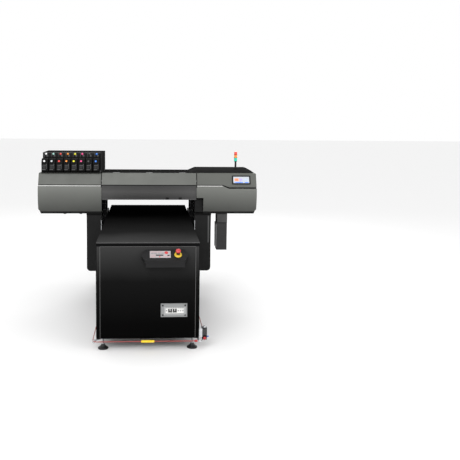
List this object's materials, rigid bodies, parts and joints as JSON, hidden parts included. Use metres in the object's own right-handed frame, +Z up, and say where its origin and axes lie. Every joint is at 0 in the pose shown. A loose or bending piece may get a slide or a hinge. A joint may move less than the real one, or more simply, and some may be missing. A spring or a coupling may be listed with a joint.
{
  "type": "flatbed UV printer",
  "caption": "Gantry flatbed UV printer: a moving print unit with ink rack and touch screen straddles a deep black vacuum table on a box cabinet ringed by a red safety rope.",
  "frame": {"origin": "on the floor, under the middle of the machine's overall box", "axes": "+Z up, +X to the operator's right, +Y from the operator's end of the table to its far end"},
  "size_m": [2.05, 2.1365, 1.416],
  "materials": {
    "frame_black": "satin black powder coat",
    "panel_black": "satin black powder coat, fine texture",
    "table_black": "black anodised plate with small vacuum holes",
    "cover_grey": "satin warm grey paint",
    "cover_dark": "satin dark grey paint",
    "hood_dark": "dark grey moulded plastic",
    "smoked_pane": "dark smoked acrylic",
    "black_plastic": "fine-textured black plastic",
    "trim_light": "light trim strip",
    "steel": "ground steel",
    "alloy": "machined aluminium",
    "zinc_steel": "bright zinc-plated steel",
    "foot_black": "black domed plastic pad on a steel stem",
    "grey_bezel": "mid grey frame",
    "breaker_white": "white moulded breakers",
    "toggle_black": "black handles",
    "rope_red": "red plastic-sheathed rope",
    "tag_yellow": "yellow sleeve",
    "stop_red": "red moulded plastic",
    "stop_yellow": "yellow moulded plastic",
    "keypad": "pale membrane key panel",
    "screen_glass": "lit touch screen",
    "lens": "translucent coloured lenses",
    "cassette_black": "black moulded cassette",
    "bottle": "dark drain bottle"
  },
  "bodies": {
    "base": {"base_frame": "frame_black", "front_panel": "panel_black", "rear_panel": "panel_black", "side_panels": "panel_black", "power_inlet": "black_plastic", "table_top": "table_black", "vacuum_chamber": "alloy", "vacuum_blower": "alloy", "electronics_tray": "alloy", "levelling_feet": "foot_black", "control_box": "black_plastic", "control_keypad": "keypad", "estop_collar": "stop_yellow", "breaker_bezel": "grey_bezel", "breaker_block": "breaker_white", "safety_rope": "rope_red", "rope_tag": "tag_yellow", "rope_end_cap": "stop_red", "rope_fittings": "zinc_steel", "rope_switch": "black_plastic", "y_rails": "steel"},
    "y_carriage": {"y_bearing_blocks": "steel", "y_carriage_plates": "frame_black"},
    "print_unit": {"lift_brackets": "frame_black", "beam": "alloy", "x_rail": "steel", "capping_station": "black_plastic", "left_lower_cover": "cover_grey", "left_upper_cover": "cover_grey", "right_lower_cover": "cover_grey", "right_upper_cover": "cover_grey", "trim_strips": "trim_light", "drip_pans": "cover_dark", "maintenance_box": "black_plastic", "middle_cover": "cover_dark", "right_hood": "hood_dark", "lcd_bezel": "black_plastic", "lcd_screen": "screen_glass", "tower_pole": "black_plastic", "tower_lenses": "lens", "ink_rack": "cassette_black", "leg_covers": "hood_dark", "drain_holder": "hood_dark"},
    "drive_screw": {"y_screw": "steel"},
    "stop_button": {"estop_button": "stop_red"},
    "breaker_left": {"breaker_toggle_left": "toggle_black"},
    "breaker_right": {"breaker_toggle_right": "toggle_black"},
    "reset_knob": {"rope_switch_knob": "stop_red"},
    "print_head": {"head_carriage": "black_plastic"},
    "waste_bottle": {"drain_bottle": "bottle"},
    "front_cover": {"front_cover_band": "cover_grey", "front_cover_window": "smoked_pane"},
    "cassette_1": {"ink_cassette_1": "cassette_black"},
    "cassette_2": {"ink_cassette_2": "cassette_black"},
    "cassette_3": {"ink_cassette_3": "cassette_black"},
    "cassette_4": {"ink_cassette_4": "cassette_black"},
    "cassette_5": {"ink_cassette_5": "cassette_black"},
    "cassette_6": {"ink_cassette_6": "cassette_black"},
    "cassette_7": {"ink_cassette_7": "cassette_black"},
    "cassette_8": {"ink_cassette_8": "cassette_black"}
  },
  "joints": [
    {"name": "gantry_travel", "type": "slide", "parent": "base", "child": "y_carriage", "axis": [0, 1, 0], "range_m": [-1.25, 0.26]},
    {"name": "drive_screw_turn", "type": "hinge", "parent": "base", "child": "drive_screw", "pos_m": [-0.352, 0, 0.712], "axis": [0, 1, 0], "range_deg": [-22510, 4690]},
    {"name": "unit_lift", "type": "slide", "parent": "y_carriage", "child": "print_unit", "axis": [0, 0, 1], "range_m": [-0.12, 0.06]},
    {"name": "head_travel", "type": "slide", "parent": "print_unit", "child": "print_head", "axis": [1, 0, 0], "range_m": [-1.47, 0.05]},
    {"name": "front_cover_hinge", "type": "hinge", "parent": "print_unit", "child": "front_cover", "pos_m": [0, 0.3587, 1.215], "axis": [-1, 0, 0], "range_deg": [0, 40]},
    {"name": "bottle_out", "type": "slide", "parent": "print_unit", "child": "waste_bottle", "axis": [0, -1, 0], "range_m": [0, 0.16]},
    {"name": "stop_press", "type": "slide", "parent": "base", "child": "stop_button", "axis": [0, 0.5736, -0.8192], "range_m": [0, 0.006], "stiffness_N_per_m": 1500},
    {"name": "breaker_left_switch", "type": "hinge", "parent": "base", "child": "breaker_left", "pos_m": [0.157, -0.9733, 0.3045], "axis": [-1, 0, 0], "range_deg": [0, 40]},
    {"name": "breaker_right_switch", "type": "hinge", "parent": "base", "child": "breaker_right", "pos_m": [0.192, -0.9733, 0.3045], "axis": [-1, 0, 0], "range_deg": [0, 40]},
    {"name": "reset_press", "type": "slide", "parent": "base", "child": "reset_knob", "axis": [0, 1, 0], "range_m": [0, 0.005], "stiffness_N_per_m": 800},
    {"name": "cassette_1_out", "type": "slide", "parent": "print_unit", "child": "cassette_1", "axis": [0, -1, 0], "range_m": [0, 0.19]},
    {"name": "cassette_2_out", "type": "slide", "parent": "print_unit", "child": "cassette_2", "axis": [0, -1, 0], "range_m": [0, 0.19]},
    {"name": "cassette_3_out", "type": "slide", "parent": "print_unit", "child": "cassette_3", "axis": [0, -1, 0], "range_m": [0, 0.19]},
    {"name": "cassette_4_out", "type": "slide", "parent": "print_unit", "child": "cassette_4", "axis": [0, -1, 0], "range_m": [0, 0.19]},
    {"name": "cassette_5_out", "type": "slide", "parent": "print_unit", "child": "cassette_5", "axis": [0, -1, 0], "range_m": [0, 0.19]},
    {"name": "cassette_6_out", "type": "slide", "parent": "print_unit", "child": "cassette_6", "axis": [0, -1, 0], "range_m": [0, 0.19]},
    {"name": "cassette_7_out", "type": "slide", "parent": "print_unit", "child": "cassette_7", "axis": [0, -1, 0], "range_m": [0, 0.19]},
    {"name": "cassette_8_out", "type": "slide", "parent": "print_unit", "child": "cassette_8", "axis": [0, -1, 0], "range_m": [0, 0.19]}
  ],
  "couplings": [
    {"joint": "drive_screw_turn", "follows": "gantry_travel", "rad_per_m": 314.16}
  ]
}
